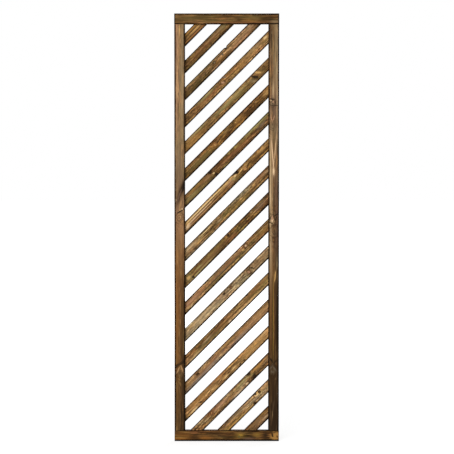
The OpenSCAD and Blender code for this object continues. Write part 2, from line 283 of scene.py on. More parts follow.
SLAT_TIMBERS = {
    "slat_01": Timber(
        "walnut rust amber olive", 101, (24, -30), ring=8, lift=0.98,
        stains={
            "honey": [(0.5, 0.05, 40, 8, 0.8)], "amber": [(-0.3, 0.6, 46, 6, 0.75)],
            "russet": [(0, -0.6, 90, 7, 0.7)],
        },
        marks={"honey": [(0.3, 0.1, 36, 1.7)], "bark": [(0.05, -0.28, 60, 1.7), (-0.15, 0.32, 44, 1.6)]},
    ),
    "slat_02": Timber(
        "umber walnut chestnut olive", 102, (-26, -28), lift=0.77,
        stains={
            "russet": [(0, 0.05, 140, 5, 0.7)], "sage": [(0.8, 0.35, 34, 9, 0.65)],
            "tan": [(0.41, 0.38, 50, 4, 0.75)], "umber": [(-0.3, -0.6, 140, 7, 0.75)],
            "bark": [(0.05, 0.7, 50, 5, 0.7)],
        },
    ),
    "slat_03": Timber(
        "umber chestnut tan rose", 103, (30, -26), lift=0.73,
        knots=[Knot(-0.12, 0.25, 4.5, "grey", 1.4)],
        stains={
            "tan": [(0.62, 0.1, 110, 18, 0.65)], "sand": [(0.88, 0.5, 24, 7, 0.65)],
            "amber": [(0.01, -0.2, 36, 6, 0.6)], "moss": [(-0.65, -0.2, 90, 14, 0.65)],
            "sage": [(-0.6, 0.75, 90, 3.5, 0.6)],
        },
        marks={"soot": [(0.235, 0.76, 8, 4.5, 20)], "slate": [(0.1, 0.25, 4.5, 4)]},
        notches=[Notch(0.24, 1, 13, 4)],
    ),
    "slat_04": Timber(
        "walnut chestnut tan olive", 104, (-22, -34), lift=1.02,
        knots=[Knot(-0.083, 0.04, 7.5, "swirl", 1.3, -30)],
        stains={
            "honey": [(0.91, 0.4, 22, 8, 0.85)], "stone": [(0.72, 0.6, 36, 7, 0.7)],
            "tan": [(0.54, 0.45, 46, 6, 0.6)], "amber": [(0.29, -0.1, 50, 7, 0.6)],
            "russet": [(0.12, 0.35, 28, 4, 0.8), (-0.38, 0, 90, 6, 0.6)],
            "sage": [(-0.43, 0.55, 50, 5, 0.75)],
        },
        marks={
            "straw": [(0.905, 0.42, 10, 4.2)], "slate": [(-0.006, 0.55, 6, 3.6, -30)],
            "rose": [(-0.083, 0.04, 7, 3.2, -30)],
        },
    ),
    "slat_05": Timber(
        "walnut chestnut tan olive", 105, (28, -30), lift=1.09,
        knots=[Knot(0.652, 0.06, 5.5, "dark", 2, -45)],
        stains={
            "umber": [(0.82, 0, 60, 18, 0.6)], "honey": [(0.735, 0.3, 16, 5, 0.9, -45)],
            "russet": [(0.7, 0.05, 18, 3, 0.8, -45)], "stone": [(0.59, -0.4, 16, 6, 0.85, -45)],
            "moss": [(0.33, -0.35, 70, 8, 0.65)],
            "sage": [(0.1, 0.3, 100, 8, 0.65), (-0.63, 0.65, 50, 4, 0.85)],
            "amber": [(-0.78, -0.05, 60, 13, 0.65)],
        },
        marks={"soot": [(0.645, 0.18, 14, 3, -45)], "honey": [(0.735, 0.32, 12, 3, -45)]},
    ),
    "slat_06": Timber(
        "umber walnut chestnut amber", 106, (-30, -24), ring=6.5, lift=0.9,
        knots=[Knot(-0.27, -0.03, 6, "gold", 1.3)],
        stains={
            "honey": [(0.9, 0.1, 20, 8, 0.85), (0.02, 0.32, 18, 4, 0.8)],
            "bark": [(0.6, -0.4, 80, 8, 0.65)], "amber": [(0.28, 0.2, 26, 6, 0.8)],
            "olive": [(-0.6, -0.2, 80, 12, 0.7)],
        },
        marks={
            "honey": [(0.93, 0.25, 5, 2.6), (0.9, -0.2, 6, 2.2), (0.22, 0.2, 4, 2.2)],
            "tan": [(0.68, 0.32, 7, 2)],
        },
    ),
    "slat_07": Timber(
        "umber walnut chestnut olive", 107, (20, -36), lift=0.98,
        knots=[Knot(-0.33, 0.58, 6.5, "black", 1.2), Knot(-0.28, -0.6, 6, "black", 1.2)],
        stains={
            "sage": [(0.75, 0.7, 70, 4.5, 0.9), (-0.8, -0.2, 50, 8, 0.55)],
            "slate": [(0.8, 0.07, 26, 7, 0.65)],
            "russet": [(0.29, 0, 50, 7, 0.75), (0.05, 0.12, 50, 6, 0.65)],
            "tan": [(-0.4, 0.2, 26, 7, 0.75)], "amber": [(-0.68, 0.41, 60, 4, 0.8)],
            "olive": [(-0.65, -0.55, 70, 6, 0.7)],
        },
        marks={"straw": [(-0.3, -0.05, 5, 3)]},
    ),
    "slat_08": Timber(
        "umber chestnut honey amber", 108, (-34, -20), ring=9, lift=1.09,
        knots=[Knot(0.41, -0.06, 7.5, "gold", 1.1), Knot(0.27, 0.68, 6.5, "black", 1.2)],
        stains={
            "honey": [(0.81, 0.29, 40, 5, 0.8), (-0.11, 0.29, 60, 4.5, 0.8)],
            "bark": [
                (0.8, -0.35, 46, 4, 0.85), (0.33, -0.35, 22, 6, 0.8), (-0.12, -0.15, 60, 3, 0.8),
                (-0.5, 0.27, 110, 2.2, 0.95), (-0.45, -0.2, 90, 2.2, 0.95),
            ],
            "umber": [(0.6, 0.1, 46, 10, 0.7), (-0.5, -0.68, 120, 3, 0.8)],
            "moss": [(0.21, -0.25, 20, 7, 0.8)],
            "rose": [(0.09, 0.06, 24, 8, 0.75), (-0.7, 0.05, 90, 5, 0.85)],
            "straw": [(-0.5, 0.55, 110, 3.6, 0.9)], "tan": [(-0.5, -0.42, 90, 3, 0.7)],
            "cream": [(-0.9, -0.15, 16, 6, 0.85)],
        },
        marks={
            "russet": [(0.41, -0.06, 3.2, 2.4)], "straw": [(0.22, 0.38, 8, 3.2), (-0.5, 0.58, 100, 1.9)],
            "sage": [(0.17, 0.05, 9, 3.2)], "soot": [(0.27, 0.62, 7, 4.5)],
            "bark": [(0.37, -0.42, 12, 2.6), (-0.4, -0.58, 110, 1.5)],
            "peat": [(-0.46, 0.33, 105, 1.5), (-0.44, -0.16, 95, 1.5)], "sand": [(-0.62, 0.08, 80, 2)],
            "tan": [(-0.5, -0.36, 90, 1.6)],
        },
    ),
    "slat_09": Timber(
        "walnut chestnut stone olive", 109, (26, -26), lift=1.09,
        stains={
            "russet": [(0.81, 0.45, 50, 9, 0.75)], "olive": [(0.23, -0.25, 90, 9, 0.6)],
            "sand": [(-0.16, 0.04, 14, 4, 0.65), (-0.8, 0.3, 50, 9, 0.65)],
            "honey": [(-0.65, -0.07, 18, 5, 0.75)], "bark": [(-0.3, -0.35, 40, 4, 0.7)],
        },
        marks={"honey": [(0.63, 0.27, 8, 3), (0.33, 0.04, 8, 3)], "straw": [(-0.44, 0.5, 36, 1.6)]},
    ),
    "slat_10": Timber(
        "bark umber walnut olive", 110, (-24, -30), ring=6.5, lift=1.08,
        knots=[Knot(0.07, 0.48, 4.5, "black", 1.3)],
        stains={
            "slate": [(0.78, 0.25, 36, 8, 0.75)], "russet": [(0.1, -0.4, 24, 6, 0.75)],
            "olive": [(-0.2, 0.45, 46, 6, 0.75)], "chestnut": [(-0.45, 0, 90, 10, 0.7)],
            "sage": [(-0.62, 0.14, 20, 4, 0.75), (-0.61, -0.55, 60, 3, 0.85), (-0.86, 0.05, 15, 9, 0.9)],
            "soot": [(-0.97, 0.2, 7, 8, 0.8)],
        },
        marks={
            "stone": [(0.6, 0.6, 5, 2.6)], "honey": [(-0.86, 0.1, 10, 6)], "soot": [(-0.8, -0.5, 6, 5)],
        },
    ),
    "slat_11": Timber(
        "umber chestnut tan olive", 111, (30, -30), lift=1.01,
        knots=[Knot(0.46, 0.35, 6.5, "rose", 1.2)],
        stains={
            "umber": [(0.75, 0.1, 70, 18, 0.55)], "stone": [(-0.1, 0.1, 110, 10, 0.6)],
            "amber": [(0.83, -0.1, 24, 7, 0.8)],
            "moss": [(0.72, 0.35, 36, 7, 0.75), (-0.25, -0.5, 60, 5, 0.8)],
            "soot": [(0.44, 0.2, 5, 3, 0.85)],
            "russet": [(0.02, 0.3, 140, 4, 0.75), (-0.56, 0.24, 46, 6, 0.75)],
            "bark": [(0, -0.15, 120, 2.4, 0.75)], "rose": [(-0.8, 0.2, 50, 9, 0.65)],
        },
        marks={
            "sand": [(0.46, 0.38, 5, 2.8, 30), (-0.84, -0.55, 7, 2.8, 20)],
            "honey": [(0.38, 0.15, 6, 3.5)],
        },
    ),
    "slat_12": Timber(
        "stone stone stone plum", 112, (-28, -32), lift=1.1,
        knots=[
            Knot(0.5, -0.02, 7.5, "rose", 1.2), Knot(0.12, 0.34, 4, "red", 1.3),
            Knot(-0.03, 0.39, 3.5, "dark", 1.3),
        ],
        stains={
            "chestnut": [(0.8, 0, 70, 14, 0.6)], "bark": [(0.72, 0.34, 10, 3.5, 0.75)],
            "sand": [(-0.55, 0.1, 130, 15, 0.5)], "honey": [(-0.78, 0.45, 22, 5, 0.6)],
        },
        marks={
            "soot": [(0.585, 0.08, 12, 2.2, -66), (0.54, 0.4, 10, 1.9, 24)],
            "bark": [(0.5, -0.45, 10, 1.7, -14)],
        },
    ),
    "slat_13": Timber(
        "umber chestnut tan olive", 113, (22, -30), ring=8.5, lift=0.94,
        stains={
            "honey": [(0.9, 0.5, 22, 6, 0.75), (0.42, -0.58, 125, 2.6, 0.8)],
            "olive": [(0.65, 0.2, 90, 13, 0.65)],
            "russet": [(0.7, 0.32, 60, 5, 0.8), (-0.21, 0.09, 50, 6, 0.75), (-0.83, -0.25, 30, 4, 0.7)],
            "moss": [(-0.45, -0.3, 110, 9, 0.8)], "sand": [(-0.43, 0.09, 26, 3, 0.85)],
            "bark": [(-0.3, 0.45, 80, 3, 0.8)], "straw": [(-0.79, -0.55, 36, 3.5, 0.85)],
        },
        marks={
            "straw": [(0.4, -0.6, 110, 1.5)], "cream": [(0.03, -0.55, 7, 3.2)],
            "soot": [(0.52, 0.8, 7, 3)],
        },
    ),
    "slat_14": Timber(
        "walnut tan sand plum", 114, (-30, -34), lift=1.26,
        knots=[Knot(-0.64, 0.3, 4.5, "dark", 1.8)],
        stains={
            "russet": [(0.38, 0.3, 40, 3.5, 0.8), (-0.37, 0, 40, 7, 0.7)],
            "ash": [(0.25, -0.45, 70, 6, 0.75), (-0.55, -0.62, 110, 9, 1.2)],
            "honey": [(0.01, 0.6, 46, 5, 0.65), (-0.85, 0.2, 24, 6, 0.4)],
            "plum": [(-0.08, 0.07, 9, 5, 0.85), (-0.53, 0.15, 26, 7, 0.75)],
            "walnut": [(-0.75, 0.2, 100, 18, 0.6)], "tan": [(0.7, 0, 110, 18, 0.55)],
        },
    ),
    "slat_15": Timber(
        "chestnut tan honey amber", 115, (32, -22), ring=8.5, lift=1.03,
        stains={
            "straw": [(0.88, 0.5, 26, 5, 0.65), (-0.78, -0.55, 24, 4, 0.8)],
            "russet": [(-0.2, 0.7, 240, 6, 0.8)],
            "honey": [
                (0.65, 0.06, 90, 14, 0.7), (0.15, -0.17, 20, 5, 0.85), (-0.05, -0.25, 22, 5, 0.85),
                (-0.28, -0.48, 24, 6, 0.85),
            ],
            "bark": [(0.1, 0.35, 60, 3, 0.75), (-0.3, 0.3, 60, 3, 0.75)],
            "amber": [(-0.6, 0.2, 90, 10, 0.6)],
        },
        marks={
            "straw": [(0.15, -0.17, 12, 1.7, 10), (-0.03, -0.32, 14, 1.7, 8), (-0.78, -0.55, 18, 2.2)],
            "soot": [(0.36, -0.6, 5, 3), (0.27, -0.55, 5, 2.6), (-0.62, -0.34, 5, 3)],
            "bark": [(0.05, -0.1, 16, 1.8, 10), (-0.17, -0.3, 18, 1.8, 8), (-0.4, -0.2, 14, 1.8, 10)],
        },
    ),
    "slat_16": Timber(
        "walnut chestnut tan stone", 116, (-26, -28), lift=1.25,
        knots=[
            Knot(0.49, 0.78, 7.5, "black", 1.2), Knot(0.53, -0.62, 8, "black", 1.2),
            Knot(-0.56, 0.5, 4, "red", 1.3), Knot(-0.51, -0.07, 4, "red", 1.3),
        ],
        stains={
            "tan": [(0.93, 0.6, 22, 7, 0.65)], "amber": [(0.69, 0.45, 36, 6, 0.75)],
            "sage": [(0.51, 0.12, 10, 5, 0.8), (0.29, 0.39, 40, 7, 0.75)],
            "sand": [(0.1, -0.6, 34, 4, 0.75)], "rose": [(-0.29, 0.27, 40, 7, 0.6)],
        },
        marks={"sand": [(0.34, -0.5, 7, 3.5)]},
    ),
    "slat_17": Timber(
        "walnut stone tan olive", 117, (24, -34), lift=1.36,
        knots=[
            Knot(0.48, 0.8, 6, "black", 1.2), Knot(0.6, 0.45, 5.5, "dark", 1.2),
            Knot(0.28, -0.62, 4.5, "black", 1.5),
        ],
        stains={
            "tan": [(0.81, 0.4, 34, 8, 0.7)], "plum": [(0.41, -0.09, 15, 7, 0.75)],
            "stone": [(-0.23, 0.4, 80, 8, 0.6)], "amber": [(-0.6, -0.58, 34, 4, 0.8)],
            "honey": [(0, -0.7, 80, 3, 0.7)],
        },
        marks={"honey": [(0.54, 0.62, 5, 3.4)], "straw": [(0.5, 0.25, 8, 2.2)]},
    ),
    "slat_18": Timber(
        "chestnut chestnut russet plum", 118, (-28, -26), ring=11, lift=0.86,
        stains={
            "tan": [(-0.05, 0.1, 26, 12, 0.7)], "sand": [(0.48, -0.3, 18, 4, 0.75)],
            "amber": [(0.51, 0.65, 24, 5, 0.75)],
        },
    ),
}


# Noise in the wood: cells per metre, detail, the range that counts and what its ends turn into
Layer = namedtuple("Layer", "along across detail low high start end", defaults=(0.0, 1.0, 0.0, 1.0))
RING_SLOW = Layer(2.5, 22.0, 1.0)
RING_QUICK = Layer(8.0, 60.0, 2.0)
TONE_SLOW = Layer(3.0, 26.0, 1.0)
PATCH = Layer(13.0, 70.0, 2.0, 0.50, 0.66, 0.0, 0.65)
DRIFT = Layer(11.0, 44.0, 1.0, 0.35, 0.65)
STRIPE = Layer(4.0, 190.0, 1.0, 0.40, 0.60, 0.70, 1.32)
FIBRE = Layer(14.0, 1100.0, 3.0, 0.32, 0.68, 0.60, 1.44)
HAIR = Layer(6.0, 330.0, 1.0, 0.67, 0.75)
BREAK_UP = Layer(10.0, 160.0, 2.0, 0.30, 0.62, 0.45, 1.15)
EDGE_SLOW = Layer(12.0, 60.0, 1.0)
EDGE_QUICK = Layer(40.0, 700.0, 3.0)
# Layers with their cells along the grain counted in streaks, of which a slat has more in a metre
MOTTLE = Layer(1.5, 170.0, 3.0, 0.35, 0.65, 0.66, 1.40)
FLECK = Layer(4.0, 250.0, 3.0, 0.36, 0.64, 0.58, 1.54)
BLOTCH = Layer(0.8, 55.0, 2.0, 0.34, 0.66, 0.80, 1.22)
DARK_SPECK = Layer(2.5, 300.0, 1.0, 0.64, 0.70, 0.0, 0.75)
LIGHT_SPECK = Layer(4.0, 330.0, 1.0, 0.36, 0.30, 0.0, 0.55)
SLAT_STREAK = 20.0
FRAME_STREAK = 9.0

# Clear wood
SEED_SHIFT = (0.731, 0.37)
RING_SLOW_REACH = 8.0 * MM
RING_QUICK_REACH = 1.4 * MM
RING_SHARE = 0.42
BODY_RANGE = (0.34, 0.46)
LIGHT_RANGE = (0.54, 0.66)
WARM_DRIFT = (1.07, 0.98, 0.92, 1.0)
GREEN_DRIFT = (0.95, 1.03, 1.00, 1.0)
LATE_WOOD = (0.40, 0.31, 0.23, 1.0)
LATE_RISE = (0.46, 0.84)
LATE_FALL = (0.95, 1.0)
LATE_SPREAD = 0.5
LATE_DRAW = 0.5
HAIR_COVER = 0.6

# Spots and knots, with the distances of a fade in their half sizes and then its strengths
BLACK = (0.0, 0.0, 0.0, 1.0)
THROUGH = 10.0
RAG = 1.3
RAG_SIZE = (1.4, 1.4, 1.4)
RAG_SHIFT = 97.0
MARK_FADE = (1.35, 0.60)
MARK_WORN = (0.30, 0.60, 0.72, 0.98)
KNOT_DEPTH = 20.0 * MM
KNOT_PULL = 0.85
KNOT_REACH = 0.40
KNOT_SWELL = 0.30
KNOT_FADE = (1.10, 0.85)
KNOT_SHADE = (0.55, 0.48, 0.42, 1.0)
HALO_FADE = (2.5, 1.0)
HALO_COVER = 0.5
CURL_TURNS = 13.0
CURL_WAVE = (-0.4, 1.0)
CURL_FADE = (1.9, 0.9, 0.0, 0.6)
CORE_TURNS = 30.0
CORE_WAVE = (0.2, 1.0, 0.0, 0.45)
RIM_FADE = (0.55, 0.92)
SPLIT_BEND = 0.15
SPLIT_FADE = (0.10, 0.04, 0.0, 0.8)

# Surface of the wood
WOOD_ROUGHNESS = (0.2, 0.8, 0.66, 0.88)
WOOD_SPECULAR = 0.06
LATE_RELIEF = 0.45
FIBRE_RELIEF = 0.5
HAIR_RELIEF = -0.9
KNOT_RELIEF = 0.3
WOOD_BUMP = 0.6
WOOD_BUMP_DEPTH = 0.5 * MM

# Zinc-plated steel
STEEL_GRAIN = (2600.0, 2600.0, 500.0)
STEEL_SPOTS = (420.0, 420.0, 420.0)
STEEL_DARK = (0.50, 0.49, 0.45, 1.0)
STEEL_BRIGHT = (0.66, 0.65, 0.61, 1.0)
STEEL_DULL = (0.30, 0.27, 0.22, 1.0)
STEEL_GRAIN_RANGE = (0.3, 0.7)
STEEL_DULL_RANGE = (0.48, 0.66)
STEEL_DULL_COVER = 0.7
STEEL_ROUGHNESS = (0.0, 1.0, 0.32, 0.62)
STEEL_BUMP = 0.3
STEEL_BUMP_DEPTH = 0.1 * MM

# Painted shade along edges, where rounded arrises, slat sides, joints and grooved inner faces turn from
# the light: distances from the edge, in mm, where the band starts and where it is full
Edge = namedtuple("Edge", "start full strength")
EDGE_SHADE = (0.05, 0.036, 0.024, 1.0)
EDGE_WANDER = 4.0 * MM
EDGE_JITTER = 5.0 * MM
# A slat's lower edge gets a wider band of painted shade than its upper one, as the light falls from above
UPPER_EDGE = Edge(5.4, 1.8, 0.95)
LOWER_EDGE = Edge(7.6, 3.2, 1.0)
DEPTH_EDGE = Edge(4.6, 2.6, 1.0)
# Painted shade over a slat's whole long sides, and more on their rounded arrises
SLAT_SIDE = 0.5
SLAT_ARRIS = Edge(3.4, 1.2, 1.0 - SLAT_SIDE)
# Painted shade on the grooved inner face of each frame timber
INNER_FACE_SHADE = Edge(1.8, 0.3, 0.75)
# Painted shade at the edges at +y and -y and at the ends of each frame timber, the ends' band standing for
# shade in the joints
FRAME_EDGES = {
    "left_stile": (Edge(8.6, 4.0, 1.0), Edge(7.2, 3.0, 0.95), Edge(2.0, 1.0, 0.4)),
    "right_stile": (Edge(7.4, 3.4, 1.0), Edge(8.4, 3.8, 1.0), Edge(2.0, 1.0, 0.4)),
    "top_rail": (Edge(7.2, 3.4, 1.0), Edge(6.2, 2.6, 1.0), Edge(7.0, 3.0, 0.9)),
    "bottom_rail": (Edge(4.6, 1.6, 0.5), Edge(10.4, 5.8, 1.0), Edge(4.6, 1.6, 0.4)),
}


def linear(name):
    """A named tone as a linear colour with alpha."""
    def channel(value):
        share = value / 255.0
        if share <= 0.04045:
            return share / 12.92
        return ((share + 0.055) / 1.055) ** 2.4
    return tuple(channel(value) for value in TONES[name]) + (1.0,)


class Graph:
    """Short calls that add shader nodes to one tree; each returns an output socket."""

    def __init__(self, tree):
        self.tree = tree

    def node(self, kind, **settings):
        made = self.tree.nodes.new(kind)
        for key, value in settings.items():
            setattr(made, key, value)
        return made

    def feed(self, socket, value):
        if isinstance(value, bpy.types.NodeSocket):
            self.tree.links.new(value, socket)
        else:
            socket.default_value = value

    def fill(self, made, values):
        for socket, value in zip(made.inputs, values):
            self.feed(socket, value)
        return made.outputs

    def math(self, operation, *values, clamp=False):
        return self.fill(self.node("ShaderNodeMath", operation=operation, use_clamp=clamp), values)[0]

    def vector(self, operation, *values):
        outputs = self.fill(self.node("ShaderNodeVectorMath", operation=operation), values)
        return outputs["Value" if operation in ("DOT_PRODUCT", "LENGTH") else "Vector"]

    def scale(self, color, factor):
        """A colour made brighter or darker, by mixing it with black past its own strength."""
        return self.mix(factor, BLACK, color, clamp=False)

    def ramp(self, value, low, high, to_low=0.0, to_high=1.0):
        made = self.node("ShaderNodeMapRange", interpolation_type="SMOOTHSTEP")
        return self.fill(made, (value, low, high, to_low, to_high))["Result"]

    def noise(self, place, size, detail=2.0):
        made = self.node("ShaderNodeTexNoise")
        self.feed(made.inputs["Vector"], self.vector("MULTIPLY", place, size))
        made.inputs["Scale"].default_value = 1.0
        made.inputs["Detail"].default_value = detail
        return made.outputs["Fac"]

    def layer(self, place, layer, streak=1.0):
        """Bare noise of one layer."""
        return self.noise(place, (layer.along * streak, layer.across, layer.across), layer.detail)

    def fade(self, noise, layer):
        return self.ramp(noise, layer.low, layer.high, layer.start, layer.end)

    def grain(self, place, layer, streak=1.0):
        """Noise of one layer turned into its own range."""
        return self.fade(self.layer(place, layer, streak), layer)

    def wobble(self, place, layer):
        """Noise of one layer about zero."""
        return self.math("SUBTRACT", self.layer(place, layer), 0.5)

    def random(self, value):
        made = self.node("ShaderNodeTexWhiteNoise", noise_dimensions="1D")
        self.feed(made.inputs["W"], value)
        return made.outputs["Value"]

    def split(self, place):
        return self.fill(self.node("ShaderNodeSeparateXYZ"), [place])

    def join(self, *values):
        return self.fill(self.node("ShaderNodeCombineXYZ"), values)[0]

    def mix(self, factor, first, second, blend="MIX", clamp=True):
        made = self.node("ShaderNodeMix", data_type="RGBA", blend_type=blend, clamp_factor=clamp)
        self.feed(made.inputs["Factor"], factor)
        colors = [socket for socket in made.inputs if socket.type == "RGBA"]
        self.feed(colors[0], first)
        self.feed(colors[1], second)
        return [socket for socket in made.outputs if socket.type == "RGBA"][0]

    def near(self, square, rate):
        """Falls from one at a spot's centre, from the square of the distance."""
        return self.math("EXPONENT", self.math("MULTIPLY", square, -rate))

    def spot(self, place, center, turn, size):
        """Place measured from a spot's centre in the spot's own half sizes, and its square."""
        made = self.node("ShaderNodeMapping", vector_type="TEXTURE")
        self.feed(made.inputs["Vector"], place)
        made.inputs["Location"].default_value = center
        made.inputs["Rotation"].default_value = (0.0, 0.0, math.radians(turn))
        made.inputs["Scale"].default_value = size
        inside = made.outputs["Vector"]
        return inside, self.vector("DOT_PRODUCT", inside, inside)

    def ragged(self, field):
        """Distance from a spot's centre, stretched here and there so that its outline is ragged."""
        shift = (RAG_SHIFT * field.center.x, RAG_SHIFT * field.center.y, 0.0)
        moved = self.vector("ADD", field.inside, shift)
        stretch = self.math("MULTIPLY_ADD", self.noise(moved, RAG_SIZE), RAG, 1.0 - 0.5 * RAG)
        return self.math("MULTIPLY", self.vector("LENGTH", field.inside), stretch)

    def bump(self, shader, height, strength, depth):
        made = self.node("ShaderNodeBump")
        made.inputs["Strength"].default_value = strength
        made.inputs["Distance"].default_value = depth
        self.feed(made.inputs["Height"], height)
        self.feed(shader.inputs["Normal"], made.outputs["Normal"])


# A spot's centre, with the place and its square measured from there in the spot's half sizes
Field = namedtuple("Field", "kind center inside square")


def spot_field(g, place, spot, half, size, kind=None):
    """Where a knot, stain or mark lies on a timber."""
    center = Vector((spot.along * half[0], spot.across * half[1], half[2]))
    return Field(kind, center, *g.spot(place, center, spot.turn, size))


def knot_fields(g, place, timber, half):
    deep = KNOT_DEPTH if half[2] > KNOT_DEPTH else THROUGH
    fields = []
    for knot in timber.knots:
        radius = knot.radius * MM
        size = (radius * knot.stretch, radius, deep)
        fields.append(spot_field(g, place, knot, half, size, KNOT_KINDS[knot.kind]))
    return fields


def bent_across(g, across, fields):
    """Place across the face with the grain parted round the knots."""
    bent = across
    for field in fields:
        near = g.near(field.square, KNOT_REACH)
        shift = g.math("MULTIPLY", near, g.math("SUBTRACT", across, field.center.y))
        bent = g.math("MULTIPLY_ADD", shift, -KNOT_PULL, bent)
    return bent


def growth_rings(g, split, bent, seeded, timber, fields):
    """Distance from the pith in growth rings, which swell round the knots."""
    pith_y, pith_z = (value * MM for value in timber.pith)
    tilt_y, tilt_z = timber.tilt
    side = g.math("SUBTRACT", g.math("MULTIPLY_ADD", split[0], -tilt_y, bent), pith_y)
    depth = g.math("SUBTRACT", g.math("MULTIPLY_ADD", split[0], -tilt_z, split[2]), pith_z)
    radius = g.vector("LENGTH", g.join(0.0, side, depth))
    slow = g.wobble(seeded, RING_SLOW)
    quick = g.wobble(seeded, RING_QUICK)
    radius = g.math("MULTIPLY_ADD", slow, RING_SLOW_REACH, radius)
    radius = g.math("MULTIPLY_ADD", quick, RING_QUICK_REACH, radius)
    years = g.math("DIVIDE", radius, timber.ring * MM)
    for field in fields:
        near = g.near(field.square, KNOT_SWELL)
        years = g.math("MULTIPLY_ADD", near, field.kind.swell, years)
    return years


def wood_tone(g, seeded, timber, years, streak):
    """Colour of the clear wood, and the late wood, fibre and hair cracks that give it relief."""
    deep, body, light, accent = (linear(name) for name in timber.tones.split())
    ring = g.math("ADD", g.math("FLOOR", years), timber.seed)
    part = g.math("FRACT", years)
    slow = g.layer(seeded, TONE_SLOW)
    tone = g.math("MULTIPLY_ADD", g.random(ring), RING_SHARE, g.math("MULTIPLY", slow, 1.0 - RING_SHARE))
    color = g.mix(g.ramp(tone, *BODY_RANGE), deep, body)
    color = g.mix(g.ramp(tone, *LIGHT_RANGE), color, light)
    color = g.mix(g.grain(seeded, PATCH), color, accent)
    drift = g.grain(seeded, DRIFT)
    color = g.mix(1.0, color, g.mix(drift, WARM_DRIFT, GREEN_DRIFT), "MULTIPLY")
    for layer in (MOTTLE, FLECK, BLOTCH):
        color = g.scale(color, g.grain(seeded, layer, streak))
    color = g.scale(color, g.grain(seeded, STRIPE))
    late = g.math("SUBTRACT", g.ramp(part, *LATE_RISE), g.ramp(part, *LATE_FALL))
    draw = g.random(g.math("ADD", ring, LATE_DRAW))
    strength = g.math("MULTIPLY_ADD", draw, LATE_SPREAD, 1.0 - LATE_SPREAD)
    color = g.mix(g.math("MULTIPLY", late, strength), color, LATE_WOOD, "MULTIPLY")
    fibre = g.layer(seeded, FIBRE)
    color = g.scale(color, g.fade(fibre, FIBRE))
    color = g.mix(g.grain(seeded, DARK_SPECK, streak), color, linear("peat"))
    color = g.mix(g.grain(seeded, LIGHT_SPECK, streak), color, light)
    hair = g.grain(seeded, HAIR)
    color = g.mix(g.math("MULTIPLY", hair, HAIR_COVER), color, linear("bark"))
    return color, late, fibre, hair


def add_stains(g, color, place, timber, half, broken):
    """Soft patches and streaks of other tones, broken up by the grain."""
    for tone, rows in timber.stains.items():
        total = 0.0
        for stain in (Stain(*row) for row in rows):
            size = (stain.length * MM, stain.width * MM, THROUGH)
            field = spot_field(g, place, stain, half, size)
            mask = g.math("MULTIPLY", g.near(field.square, 1.0), stain.strength)
            total = g.math("MAXIMUM", mask, total)
        color = g.mix(g.math("MULTIPLY", total, broken, clamp=True), color, linear(tone))
    return color


def add_marks(g, color, place, timber, half, worn):
    """Small spots and cracks with clear outlines."""
    for tone, rows in timber.marks.items():
        total = 0.0
        for mark in (Mark(*row) for row in rows):
            size = (mark.length * MM, mark.width * MM, THROUGH)
            field = spot_field(g, place, mark, half, size)
            total = g.math("MAXIMUM", g.ramp(g.ragged(field), *MARK_FADE), total)
        color = g.mix(g.math("MULTIPLY", total, worn), color, linear(tone))
    return color


def add_knots(g, color, fields):
    """Knots with a rim, rings, a split in the core and curls of darker grain round them."""
    relief = 0.0
    for field in fields:
        kind = field.kind
        core, rim = linear(kind.core), linear(kind.rim)
        ragged = g.ragged(field)
        halo = g.ramp(ragged, *HALO_FADE, 0.0, HALO_COVER * kind.cover)
        color = g.mix(halo, color, KNOT_SHADE, "MULTIPLY")
        curl = g.ramp(g.math("SINE", g.math("MULTIPLY", ragged, CURL_TURNS)), *CURL_WAVE)
        color = g.mix(g.math("MULTIPLY", curl, g.ramp(ragged, *CURL_FADE)), color, rim)
        rings = g.ramp(g.math("SINE", g.math("MULTIPLY", ragged, CORE_TURNS)), *CORE_WAVE)
        body = g.mix(g.math("MAXIMUM", rings, g.ramp(ragged, *RIM_FADE)), core, rim)
        off = g.math("SUBTRACT", g.split(field.inside)[1], g.math("MULTIPLY", ragged, SPLIT_BEND))
        body = g.mix(g.ramp(g.math("ABSOLUTE", off), *SPLIT_FADE), body, linear("soot"))
        mask = g.ramp(ragged, *KNOT_FADE, 0.0, kind.cover)
        color = g.mix(mask, color, body)
        relief = g.math("ADD", mask, relief)
    return color, relief


def edge_band(g, away, half, edge):
    """Rises from the flat to the edge of one face, from the distance to the middle."""
    return g.ramp(away, half - edge.start * MM, half - edge.full * MM, 0.0, edge.strength)


